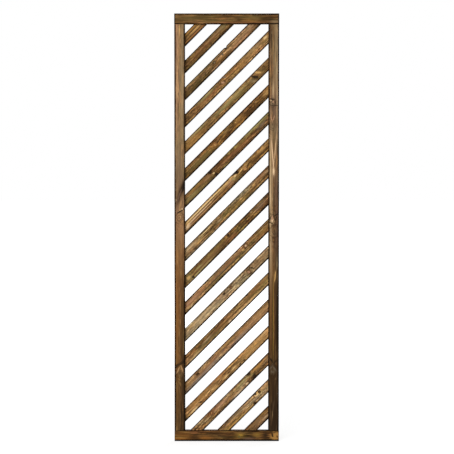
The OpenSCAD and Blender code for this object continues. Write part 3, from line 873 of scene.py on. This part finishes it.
def painted_edge_shade(g, split, half, seeded, name):
    """Painted shade on the arrises and ends of a frame timber and on its grooved inner face, or on the
    long edges and sides of a slat, the lower edge more.
    """
    slow = g.wobble(seeded, EDGE_SLOW)
    quick = g.wobble(seeded, EDGE_QUICK)
    stray = g.math("MULTIPLY_ADD", quick, EDGE_JITTER, g.math("MULTIPLY", slow, EDGE_WANDER))
    plus, minus, ends = FRAME_EDGES.get(name, (UPPER_EDGE, LOWER_EDGE, None))
    above = edge_band(g, g.math("ADD", split[1], stray), half[1], plus)
    below = edge_band(g, g.math("SUBTRACT", stray, split[1]), half[1], minus)
    sides = g.math("MAXIMUM", above, below)
    thick = g.math("ABSOLUTE", split[2])
    if ends is None:
        arris = edge_band(g, thick, half[2], SLAT_ARRIS)
        return g.math("MULTIPLY", sides, g.math("ADD", arris, SLAT_SIDE))
    deep = edge_band(g, g.math("ADD", thick, stray), half[2], DEPTH_EDGE)
    arris = g.math("MULTIPLY", sides, deep)
    along = g.math("ABSOLUTE", split[0])
    # Painted shade at the ends, standing for shade in the joints between stiles and rails
    end = edge_band(g, g.math("ADD", along, stray), half[0], ends)
    end = g.math("MULTIPLY", end, g.math("LESS_THAN", along, half[0]))
    end = g.math("MULTIPLY", end, g.math("MAXIMUM", sides, deep))
    # Painted shade on the grooved inner face
    inner_shade = edge_band(g, g.math("MULTIPLY", split[1], GROOVE_SIDES[name]), half[1], INNER_FACE_SHADE)
    return g.math("MAXIMUM", g.math("MAXIMUM", arris, end), inner_shade, clamp=True)


def new_material(name):
    """A node material with its graph, its shader and the place in the object's own axes."""
    material = bpy.data.materials.new(name)
    material.use_nodes = True
    g = Graph(material.node_tree)
    place = g.node("ShaderNodeTexCoord").outputs["Object"]
    return material, g, material.node_tree.nodes["Principled BSDF"], place


def timber_material(name, timber, half):
    """Stained softwood of one timber, drawn in the timber's own axes."""
    material, g, shader, place = new_material(name + "_wood")
    fields = knot_fields(g, place, timber, half)
    split = g.split(place)
    bent = bent_across(g, split[1], fields)
    shift = tuple(timber.seed * step for step in SEED_SHIFT) + (0.0,)
    seeded = g.vector("ADD", g.join(split[0], bent, split[2]), shift)
    years = growth_rings(g, split, bent, seeded, timber, fields)
    streak = SLAT_STREAK if half[2] < KNOT_DEPTH else FRAME_STREAK
    color, late, fibre, hair = wood_tone(g, seeded, timber, years, streak)
    color = add_stains(g, color, place, timber, half, g.grain(seeded, BREAK_UP))
    color, relief = add_knots(g, color, fields)
    color = add_marks(g, color, place, timber, half, g.ramp(fibre, *MARK_WORN))
    # Multiplies in the painted shade of the edges, joints and inner faces
    color = g.mix(painted_edge_shade(g, split, half, seeded, name), color, EDGE_SHADE, "MULTIPLY")
    g.feed(shader.inputs["Base Color"], g.scale(color, timber.lift))
    g.feed(shader.inputs["Roughness"], g.ramp(fibre, *WOOD_ROUGHNESS))
    shader.inputs["Specular IOR Level"].default_value = WOOD_SPECULAR
    height = g.math("MULTIPLY_ADD", late, LATE_RELIEF, g.math("MULTIPLY", fibre, FIBRE_RELIEF))
    height = g.math("MULTIPLY_ADD", hair, HAIR_RELIEF, height)
    height = g.math("MULTIPLY_ADD", relief, KNOT_RELIEF, height)
    g.bump(shader, height, WOOD_BUMP, WOOD_BUMP_DEPTH)
    return material


def steel_material():
    """Zinc-plated steel with a fine turned grain and dull spots."""
    material, g, shader, place = new_material("zinc_steel")
    grain = g.noise(place, STEEL_GRAIN)
    dull = g.ramp(g.noise(place, STEEL_SPOTS, 3.0), *STEEL_DULL_RANGE)
    color = g.mix(g.ramp(grain, *STEEL_GRAIN_RANGE), STEEL_DARK, STEEL_BRIGHT)
    color = g.mix(g.math("MULTIPLY", dull, STEEL_DULL_COVER), color, STEEL_DULL)
    g.feed(shader.inputs["Base Color"], color)
    shader.inputs["Metallic"].default_value = 1.0
    g.feed(shader.inputs["Roughness"], g.ramp(dull, *STEEL_ROUGHNESS))
    g.bump(shader, grain, STEEL_BUMP, STEEL_BUMP_DEPTH)
    return material


# Wear of the surface; seeds of its noise are counted from a span of seeds per timber
CORNERS = 4
WANDER_CELLS = 2048
WANDER_START = 700.0
SEED_SPAN = 10
CHIP_FINE_SEED = 5
WAVE_SEED = 9
CHECK_SEED = 40
CHIP_DEPTH = 0.9 * MM
CHIP_LENGTHS = (34.0 * MM, 9.0 * MM)
CHIP_START = 0.22
WAVE_DEPTH = 0.18 * MM
WAVE_LENGTH = 60.0 * MM
WAVE_SKEW = 7.0
CHECK_WANDER = 1.2 * MM
CHECK_LENGTH = 45.0 * MM
CHECK_POWER = 0.6
DISH_REACH = 0.75
RIM_DEPTH = 0.30 * MM
RIM_WIDTH = 0.3
NOTCH_POWER = 1.6


def wander(place, seed, length):
    """Smooth one-dimensional noise from -1 to 1."""
    values = np.random.default_rng(seed).uniform(-1.0, 1.0, WANDER_CELLS)
    share = place / length + WANDER_START
    low = np.floor(share).astype(int)
    part = share - low
    part = part * part * (3.0 - 2.0 * part)
    return values[low % WANDER_CELLS] * (1.0 - part) + values[(low + 1) % WANDER_CELLS] * part


Columns = namedtuple("Columns", "y z normal_y normal_z arris corner check role")


class Outline:
    """Closed cross-section, anticlockwise seen from the timber's far end."""

    def __init__(self):
        self.rows = []

    def add(self, y, z, normal_y, normal_z, arris=0.0, corner=-1, check=-1, role=0):
        self.rows.append((y, z, normal_y, normal_z, arris, corner, check, role))

    def arc(self, y, z, radius, start, corner):
        for step in range(ARC_STEPS + 1):
            share = step / ARC_STEPS
            angle = math.radians(start + 90.0 * share)
            out_y, out_z = math.cos(angle), math.sin(angle)
            arris = math.sin(math.pi * share)
            self.add(y + radius * out_y, z + radius * out_z, out_y, out_z, arris, corner)

    def flat(self, start, end, normal, checks=()):
        """Points between two corners, with three close points for each drying check."""
        length = math.dist(start, end)
        count = max(2, math.ceil(length / FLAT_STEP))
        spots = [(length * step / count, -1, 0) for step in range(1, count)]
        for index, middle in checks:
            spots = [spot for spot in spots if abs(spot[0] - middle) > CHECK_CLEAR]
            spots += [(middle + role * CHECK_HALF_W, index, role) for role in (-1, 0, 1)]
        for spot, index, role in sorted(spots):
            share = spot / length
            y = start[0] + (end[0] - start[0]) * share
            z = start[1] + (end[1] - start[1]) * share
            self.add(y, z, normal[0], normal[1], 0.0, -1, index, role)

    def groove(self, half_y, half_w):
        """Groove in the side at +y, with eased lips that sink with the side and a bottom that stays."""
        bottom = half_y - GROOVE_DEPTH
        self.add(half_y, -half_w - LIP_EASE, 1.0, 0.0)
        self.add(half_y - LIP_EASE, -half_w, 1.0, 0.0)
        self.add(bottom, -half_w, 0.0, 0.0)
        self.add(bottom, half_w, 0.0, 0.0)
        self.add(half_y - LIP_EASE, half_w, 1.0, 0.0)
        self.add(half_y, half_w + LIP_EASE, 1.0, 0.0)

    def columns(self, mirror):
        rows = np.array(self.rows)
        if mirror:
            rows[:, 0] *= -1.0
            rows[:, 2] *= -1.0
            rows = rows[::-1]
        return Columns(*rows.T)


def face_checks(timber, face, half_span, flip):
    """Drying checks on one face, as index and distance from the flat's start."""
    found = []
    for index, check in enumerate(timber.checks):
        if check.face == face:
            middle = check.across * half_span
            found.append((index, half_span + (-middle if flip else middle)))
    return found


def timber_outline(timber, half, radius, groove_side=0):
    """Rounded rectangle, with a groove in its +y or -y side if asked."""
    flat_y = half[1] - radius
    flat_z = half[2] - radius
    mirror = groove_side < 0
    outline = Outline()
    outline.arc(flat_y, -flat_z, radius, -90.0, 0)
    if groove_side:
        lip = GROOVE_W / 2 + LIP_EASE
        outline.flat((half[1], -flat_z), (half[1], -lip), (1.0, 0.0))
        outline.groove(half[1], GROOVE_W / 2)
        outline.flat((half[1], lip), (half[1], flat_z), (1.0, 0.0))
    else:
        outline.flat((half[1], -flat_z), (half[1], flat_z), (1.0, 0.0))
    outline.arc(flat_y, flat_z, radius, 0.0, 1)
    checks = face_checks(timber, "front", flat_y, not mirror)
    outline.flat((flat_y, half[2]), (-flat_y, half[2]), (0.0, 1.0), checks)
    outline.arc(-flat_y, flat_z, radius, 90.0, 2)
    outline.flat((-half[1], flat_z), (-half[1], -flat_z), (-1.0, 0.0))
    outline.arc(-flat_y, -flat_z, radius, 180.0, 3)
    checks = face_checks(timber, "back", flat_y, mirror)
    outline.flat((-flat_y, -half[2]), (flat_y, -half[2]), (0.0, -1.0), checks)
    return outline.columns(mirror)


def wear(timber, along, columns):
    """How far each point sinks below the planed surface, from wear and drying."""
    sink = np.zeros_like(along)
    for index in range(CORNERS):
        weight = np.where(columns.corner == index, columns.arris, 0.0)
        seed = timber.seed * SEED_SPAN + index
        coarse = wander(along, seed, CHIP_LENGTHS[0])
        fine = wander(along, seed + CHIP_FINE_SEED, CHIP_LENGTHS[1])
        chip = np.clip(0.5 * coarse + 0.5 * fine - CHIP_START, 0.0, None)
        sink += weight * CHIP_DEPTH * chip / (1.0 - CHIP_START)
    wave = wander(along + WAVE_SKEW * columns.y, timber.seed * SEED_SPAN + WAVE_SEED, WAVE_LENGTH)
    return sink + (1.0 - columns.arris) * WAVE_DEPTH * (0.5 + 0.5 * wave)


def knot_relief(timber, along, columns, half):
    """Some kinds of knot sink a little inside their rim, on the front and the back."""
    sink = np.zeros_like(along)
    facing = np.abs(columns.normal_z) > 0.5
    for knot in timber.knots:
        depth = KNOT_KINDS[knot.kind].dish
        if not depth:
            continue
        radius = knot.radius * MM
        turn = math.radians(knot.turn)
        off_x = along - knot.along * half[0]
        off_y = columns.y - knot.across * half[1]
        u = (off_x * math.cos(turn) + off_y * math.sin(turn)) / (radius * knot.stretch)
        v = (off_y * math.cos(turn) - off_x * math.sin(turn)) / radius
        reach = np.sqrt(u * u + v * v)
        dish = depth * np.exp(-(reach / DISH_REACH) ** 2)
        rim = RIM_DEPTH * np.exp(-((reach - 1.0) / RIM_WIDTH) ** 2)
        sink += np.where(facing, dish + rim, 0.0)
    return sink


def open_checks(timber, along, columns, half):
    """Depth of the drying checks and the sideways run of their lines."""
    sink = np.zeros_like(along)
    slide = np.zeros_like(along)
    for index, check in enumerate(timber.checks):
        mine = columns.check == index
        share = (along / half[0] - check.start) / (check.end - check.start)
        swell = np.sin(np.pi * np.clip(share, 0, 1)) ** CHECK_POWER
        window = np.where((share > 0) & (share < 1), swell, 0.0)
        sink += np.where(mine & (columns.role == 0), check.depth * MM * window, 0.0)
        run = wander(along, timber.seed * SEED_SPAN + CHECK_SEED + index, CHECK_LENGTH)
        slide += np.where(mine, CHECK_WANDER * run, 0.0)
    return sink, slide


def cut_notches(timber, along, y, half):
    """Edges broken off on one side of a slat."""
    for notch in timber.notches:
        share = (along - notch.along * half[0]) / (0.5 * notch.length * MM)
        window = np.clip(1.0 - np.abs(share) ** NOTCH_POWER, 0.0, 1.0)
        limit = half[1] - notch.depth * MM * window
        y = np.where(notch.side * y > limit, notch.side * limit, y)
    return y


# Places on the baked picture: the sides below, the ends and inner faces in a row above them
UV_NAME = "OFBake"
UV_EDGE = 0.01
UV_TOP = 0.90
CAP_PLACES = (0.05, 0.17)
CAP_ROW = 0.95
CAP_SIZE = 0.07
INNER_PLACE = 0.30
INNER_SIZE = 0.3 * CAP_SIZE


def side_uv(columns, ring_count, length):
    """Face-corner places of the loft's sides on its baked picture, folded into columns."""
    closed_y = np.append(columns.y, columns.y[0])
    closed_z = np.append(columns.z, columns.z[0])
    walked = np.concatenate([[0.0], np.cumsum(np.hypot(np.diff(closed_y), np.diff(closed_z)))])
    share = walked / walked[-1]
    fold = max(1, round(math.sqrt(length / walked[-1])))
    faces = ring_count - 1
    ring = np.arange(faces)
    column = ring * fold // faces
    first = np.ceil(column * faces / fold)
    last = np.ceil((column + 1) * faces / fold)
    rise = UV_TOP - 2 * UV_EDGE
    low = UV_EDGE + (ring - first) / (last - first) * rise
    high = UV_EDGE + (ring + 1 - first) / (last - first) * rise
    width = 1.0 / fold
    left = column[:, None] * width + UV_EDGE + share[None, :-1] * (width - 2 * UV_EDGE)
    right = column[:, None] * width + UV_EDGE + share[None, 1:] * (width - 2 * UV_EDGE)
    low = np.broadcast_to(low[:, None], left.shape)
    high = np.broadcast_to(high[:, None], left.shape)
    corners = np.stack([left, low, right, low, right, high, left, high], axis=-1)
    return corners.reshape(-1)


def cap_uv(columns, place, order):
    """Face-corner places of one end of the loft on its baked picture."""
    reach = 2.0 * max(np.abs(columns.y).max(), np.abs(columns.z).max())
    across = place + CAP_SIZE * columns.y[order] / reach
    up = CAP_ROW + CAP_SIZE * columns.z[order] / reach
    return np.stack([across, up], axis=-1).reshape(-1)


def loft(name, x, y, z, columns):
    """Closed mesh through rings of points, with flat ends."""
    rings, count = x.shape
    points = np.stack([x, y, z], axis=-1).reshape(-1, 3)
    here = np.arange(count)
    after = (here + 1) % count
    base = np.arange(rings - 1)[:, None] * count
    quads = np.stack([base + here, base + after, base + count + after, base + count + here], axis=-1)
    start_cap = here[::-1].tolist()
    end_cap = ((rings - 1) * count + here).tolist()
    mesh = bpy.data.meshes.new(name)
    mesh.from_pydata(points.tolist(), [], quads.reshape(-1, 4).tolist() + [start_cap, end_cap])
    places = [side_uv(columns, rings, float(x.max() - x.min()))]
    places += [cap_uv(columns, place, order) for place, order in zip(CAP_PLACES, (here[::-1], here))]
    layer = mesh.uv_layers.new(name=UV_NAME)
    layer.uv.foreach_set("vector", np.concatenate(places).astype(np.float32))
    return mesh


def place_matrix(along, across, middle):
    """Turns a timber's own axes into the panel's."""
    turn = Matrix((along, across, along.cross(across))).transposed().to_4x4()
    turn.translation = middle
    return turn


def add_object(name, data, matrix):
    made = bpy.data.objects.new(name, data)
    bpy.context.scene.collection.objects.link(made)
    made.matrix_world = matrix
    return made


def finish_timber(piece, node, timber, half):
    """Gives a timber smooth faces with sharp edges and its wood, and hands it to the frame."""
    piece.data.shade_smooth()
    piece.data.set_sharp_from_angle(angle=SMOOTH_ANGLE)
    piece.data.materials.clear()
    piece.data.materials.append(timber_material(node, timber, half))
    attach(piece, "root")
    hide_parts(node)


def inner_mesh(builder):
    """Mesh made by a builder, with all its faces on one small part of the baked picture."""
    made = bmesh.new()
    builder(made)
    layer = made.loops.layers.uv.new(UV_NAME)
    for face in made.faces:
        for corner, loop in enumerate(face.loops):
            angle = 2.0 * math.pi * corner / len(face.loops)
            turn = Vector((math.cos(angle), math.sin(angle)))
            loop[layer].uv = Vector((INNER_PLACE, CAP_ROW)) + INNER_SIZE * turn
    mesh = bpy.data.meshes.new("inner")
    made.to_mesh(mesh)
    made.free()
    return mesh


def drop_doubles(mesh):
    """Splits the many-sided faces that carving leaves and drops pairs of faces back to back."""
    made = bmesh.new()
    made.from_mesh(mesh)
    bmesh.ops.triangulate(made, faces=[face for face in made.faces if len(face.verts) > 4])
    made.verts.index_update()
    alike = {}
    for face in made.faces:
        alike.setdefault(frozenset(vertex.index for vertex in face.verts), []).append(face)
    doubles = [face for faces in alike.values() if len(faces) > 1 for face in faces]
    bmesh.ops.delete(made, geom=doubles, context="FACES")
    made.to_mesh(mesh)
    made.free()


def carve(piece, mesh, operation):
    """Joins a mesh to a piece, or cuts it out, for good."""
    tool = add_object("tool", mesh, piece.matrix_world)
    modifier = piece.modifiers.new("carve", "BOOLEAN")
    modifier.object = tool
    modifier.operation = operation
    modifier.solver = "EXACT"
    graph = bpy.context.evaluated_depsgraph_get()
    result = bpy.data.meshes.new_from_object(piece.evaluated_get(graph))
    drop_doubles(result)
    piece.modifiers.clear()
    old = piece.data
    piece.data = result
    bpy.data.meshes.remove(old)
    bpy.data.objects.remove(tool)
    bpy.data.meshes.remove(mesh)


def cut_holes(piece, places, out, radius, depth):
    """Round holes from the piece's surface inwards, at places in the piece's own axes."""
    turn = out.to_track_quat("Z", "Y").to_matrix().to_4x4()

    def builder(made):
        for place in places:
            middle = Vector(place) + out * (HOLE_PAST - depth) / 2
            bmesh.ops.create_cone(
                made, cap_ends=True, segments=HOLE_SIDES, radius1=radius, radius2=radius,
                depth=depth + HOLE_PAST, matrix=Matrix.Translation(middle) @ turn)

    carve(piece, inner_mesh(builder), "DIFFERENCE")


def add_tenons(piece, half, groove_side):
    """Stub tenons on a stile's ends, from its outer side to the bottom of its groove."""
    outer = -groove_side * (half[1] - TENON_SHY)
    inner = groove_side * (half[1] - GROOVE_DEPTH - TENON_SHY)
    size = Vector((TENON_LEN + TENON_ROOT, abs(inner - outer), TENON_T))

    def builder(made):
        for end in (-1, 1):
            middle = Vector((end * (half[0] + (TENON_LEN - TENON_ROOT) / 2), (inner + outer) / 2, 0.0))
            matrix = Matrix.Translation(middle) @ Matrix.Diagonal(size.to_4d())
            bmesh.ops.create_cube(made, size=1.0, matrix=matrix)

    carve(piece, inner_mesh(builder), "UNION")


def shaped(name, timber, x, columns, half, matrix, ease=0.0):
    """A timber through rings at x, drawn in by the ease, worn, checked and notched."""
    sink = wear(timber, x, columns) + knot_relief(timber, x, columns, half) + ease
    cracks, slide = open_checks(timber, x, columns, half)
    sink = sink + cracks
    y = columns.y - sink * columns.normal_y - slide * columns.normal_z
    z = columns.z - sink * columns.normal_z + slide * columns.normal_y
    y = cut_notches(timber, x, y, half)
    return add_object(name + "_timber", loft(name, x, y, z, columns), matrix)


def frame_timber(name, along, across, low, high, ease):
    """A stile or rail and its half sizes: rounded timber with a groove, worn arrises and eased ends."""
    timber = FRAME_TIMBERS[name]
    size = high - low
    half = tuple(0.5 * abs(size.dot(axis)) for axis in (along, across, along.cross(across)))
    columns = timber_outline(timber, half, FRAME_EDGE_R, GROOVE_SIDES[name])
    count = math.ceil(2 * half[0] / FRAME_RING)
    middle_x = np.linspace(-half[0] + ease, half[0] - ease, count)
    end_x = np.array([half[0] - ease * step[0] for step in END_STEPS])
    end_in = np.array([ease * step[1] for step in END_STEPS])
    ring_x = np.concatenate([-end_x, middle_x, end_x[::-1]])
    ring_in = np.concatenate([end_in, np.zeros(count), end_in[::-1]])
    x = np.repeat(ring_x[:, None], len(columns.y), axis=1)
    matrix = place_matrix(along, across, (low + high) / 2)
    return shaped(name, timber, x, columns, half, matrix, ring_in[:, None]), half


def slat_timber(name, seat_low, seat_high):
    """A slat: thin rounded strip at 45 degrees, cut square to the frame; gives the places of its brads."""
    timber = SLAT_TIMBERS[name]
    low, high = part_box(name)
    corners = np.array([vertex.co[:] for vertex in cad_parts[name].data.vertices])
    strip = (corners[:, 2] - corners[:, 0]) / ROOT2
    lift = ROOT2 * midway(strip)
    left = max(seat_low.x, seat_low.z - lift)
    right = min(seat_high.x, seat_high.z - lift)
    half = (0.5 * (right - left) * ROOT2, 0.5 * (strip.max() - strip.min()), 0.5 * (high.y - low.y))
    middle_x = 0.5 * (left + right)
    middle = Vector((middle_x, 0.5 * (low.y + high.y), middle_x + lift))
    columns = timber_outline(timber, half, SLAT_EDGE_R)
    across = columns.y
    to_low = (seat_low - middle) * ROOT2
    to_high = (seat_high - middle) * ROOT2
    start = np.maximum(to_low.x + across, to_low.z - across)
    end = np.minimum(to_high.x + across, to_high.z - across)
    share = np.linspace(0.0, 1.0, math.ceil(2 * half[0] / SLAT_RING))[:, None]
    x = start + (end - start) * share
    matrix = place_matrix(Vector((1, 0, 1)) / ROOT2, Vector((-1, 0, 1)) / ROOT2, middle)
    piece = shaped(name, timber, x, columns, half, matrix)
    finish_timber(piece, name, timber, half)
    low_x = max(seat_low.x + BRAD_INSET, seat_low.z + BRAD_INSET - lift)
    high_x = min(seat_high.x - BRAD_INSET, seat_high.z - BRAD_INSET - lift)
    return [Vector((brad_x, 0.0, brad_x + lift)) for brad_x in (low_x, high_x)]


def seat_limits():
    """Lowest and highest corner of all the slats, where the grooves seat them."""
    boxes = [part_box(name) for name in SLAT_TIMBERS]
    low = Vector(min(box[0][axis] for box in boxes) for axis in range(3))
    high = Vector(max(box[1][axis] for box in boxes) for axis in range(3))
    return low, high


def cut_brad_holes(piece, half, points):
    """Holes in a frame timber's back for those brads that lie in it."""
    places = []
    for point in points:
        local = piece.matrix_world.inverted() @ point
        if abs(local.x) < half[0] and abs(local.y) < half[1]:
            places.append((local.x, local.y, -half[2]))
    cut_holes(piece, places, -AXIS_Z, BRAD_HOLE_R, BRAD_HOLE_DEPTH)


def midway(values):
    values = list(values)
    return 0.5 * (min(values) + max(values))


def cut_screw_holes(piece, half, node, outer_side):
    """Holes in a rail's outer side for its screws, at the places of the solids' own points."""
    inverse = piece.matrix_world.inverted()
    points = [inverse @ vertex.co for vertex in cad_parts[node].data.vertices]
    places = []
    for sign_x in (-1, 1):
        for sign_z in (-1, 1):
            mine = [p for p in points if p.x * sign_x > 0 and p.z * sign_z > 0]
            places.append((midway(p.x for p in mine), outer_side * half[1], midway(p.z for p in mine)))
    cut_holes(piece, places, Vector((0, outer_side, 0)), SCREW_HOLE_R, SCREW_HOLE_DEPTH)


AXIS_X = Vector((1, 0, 0))
AXIS_Z = Vector((0, 0, 1))


def build_panel():
    """All the timbers and fasteners."""
    seat_low, seat_high = seat_limits()
    brads = [end for name in SLAT_TIMBERS for end in slat_timber(name, seat_low, seat_high)]
    rail_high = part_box("bottom_rail")[1].z
    rail_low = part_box("top_rail")[0].z
    for name in ("left_stile", "right_stile"):
        low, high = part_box(name)
        low.z, high.z = rail_high, rail_low
        piece, half = frame_timber(name, AXIS_Z, -AXIS_X, low, high, STILE_EASE)
        add_tenons(piece, half, GROOVE_SIDES[name])
        cut_brad_holes(piece, half, brads)
        finish_timber(piece, name, FRAME_TIMBERS[name], half)
    for name in ("top_rail", "bottom_rail"):
        low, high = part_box(name)
        piece, half = frame_timber(name, AXIS_X, AXIS_Z, low, high, RAIL_EASE)
        cut_brad_holes(piece, half, brads)
        cut_screw_holes(piece, half, name + "_screws", -GROOVE_SIDES[name])
        finish_timber(piece, name, FRAME_TIMBERS[name], half)
    steel = steel_material()
    for name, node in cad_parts.items():
        if name.endswith(("_screws", "_brads")):
            node.data.materials.clear()
            node.data.materials.append(steel)


def seen_directly(g):
    """One for camera, glossy and transmission rays, and nothing for light that bounces."""
    path = g.node("ShaderNodeLightPath")
    seen = g.math("MAXIMUM", path.outputs["Is Camera Ray"], path.outputs["Is Glossy Ray"])
    return g.math("MAXIMUM", seen, path.outputs["Is Transmission Ray"])


def build_floor():
    """Wide pale floor that reads white and keeps the panel's soft shadow."""
    side = FLOOR_SIZE / 2
    mesh = bpy.data.meshes.new("floor")
    corners = [(-side, -side, 0), (side, -side, 0), (side, side, 0), (-side, side, 0)]
    mesh.from_pydata(corners, [], [(0, 1, 2, 3)])
    material = bpy.data.materials.new("pale_floor")
    material.use_nodes = True
    material.node_tree.nodes.clear()
    g = Graph(material.node_tree)
    matte = g.node("ShaderNodeBsdfDiffuse")
    matte.inputs["Color"].default_value = FLOOR_TONE
    glow = g.node("ShaderNodeEmission")
    away = g.vector("LENGTH", g.node("ShaderNodeTexCoord").outputs["Object"])
    level = g.ramp(away, *FLOOR_FADE, FLOOR_GLOW, 1.0)
    g.feed(glow.inputs["Strength"], g.math("MULTIPLY", seen_directly(g), level))
    both = g.node("ShaderNodeAddShader")
    g.feed(both.inputs[0], matte.outputs[0])
    g.feed(both.inputs[1], glow.outputs[0])
    g.feed(g.node("ShaderNodeOutputMaterial").inputs["Surface"], both.outputs[0])
    mesh.materials.append(material)
    add_object("floor", mesh, Matrix.Identity(4))


def aimed(place, target):
    """Matrix of a lamp or camera at a place, turned to a target."""
    turn = (Vector(target) - Vector(place)).to_track_quat("-Z", "Y")
    return Matrix.Translation(place) @ turn.to_matrix().to_4x4()


def build_light():
    """Even studio light, with large soft lamps in front on the left and behind on the right."""
    scene = bpy.context.scene
    world = bpy.data.worlds.new("studio")
    world.use_nodes = True
    g = Graph(world.node_tree)
    background = world.node_tree.nodes["Background"]
    background.inputs["Color"].default_value = (1.0, 1.0, 1.0, 1.0)
    g.feed(background.inputs["Strength"], g.ramp(seen_directly(g), 0.0, 1.0, AMBIENT, 1.0))
    scene.world = world
    for name, (place, size, watts) in LAMPS.items():
        lamp = bpy.data.lights.new(name, "AREA")
        lamp.size = size
        lamp.energy = watts
        add_object(name, lamp, aimed(place, (0, 0, AIM_HEIGHT)))
    scene.view_settings.view_transform = "Standard"


def build_camera():
    """Camera square to the panel's front."""
    front = cad_box[0][1]
    place = (CAMERA_SIDE, front - CAMERA_DISTANCE, CAMERA_HEIGHT)
    data = bpy.data.cameras.new("camera")
    data.sensor_fit = "HORIZONTAL"
    data.angle = 2.0 * math.atan(0.5 * VIEW_WIDTH / CAMERA_DISTANCE)
    bpy.context.scene.camera = add_object("camera", data, aimed(place, (CAMERA_SIDE, front, AIM_HEIGHT)))


build_camera()
build_light()
build_floor()
build_panel()
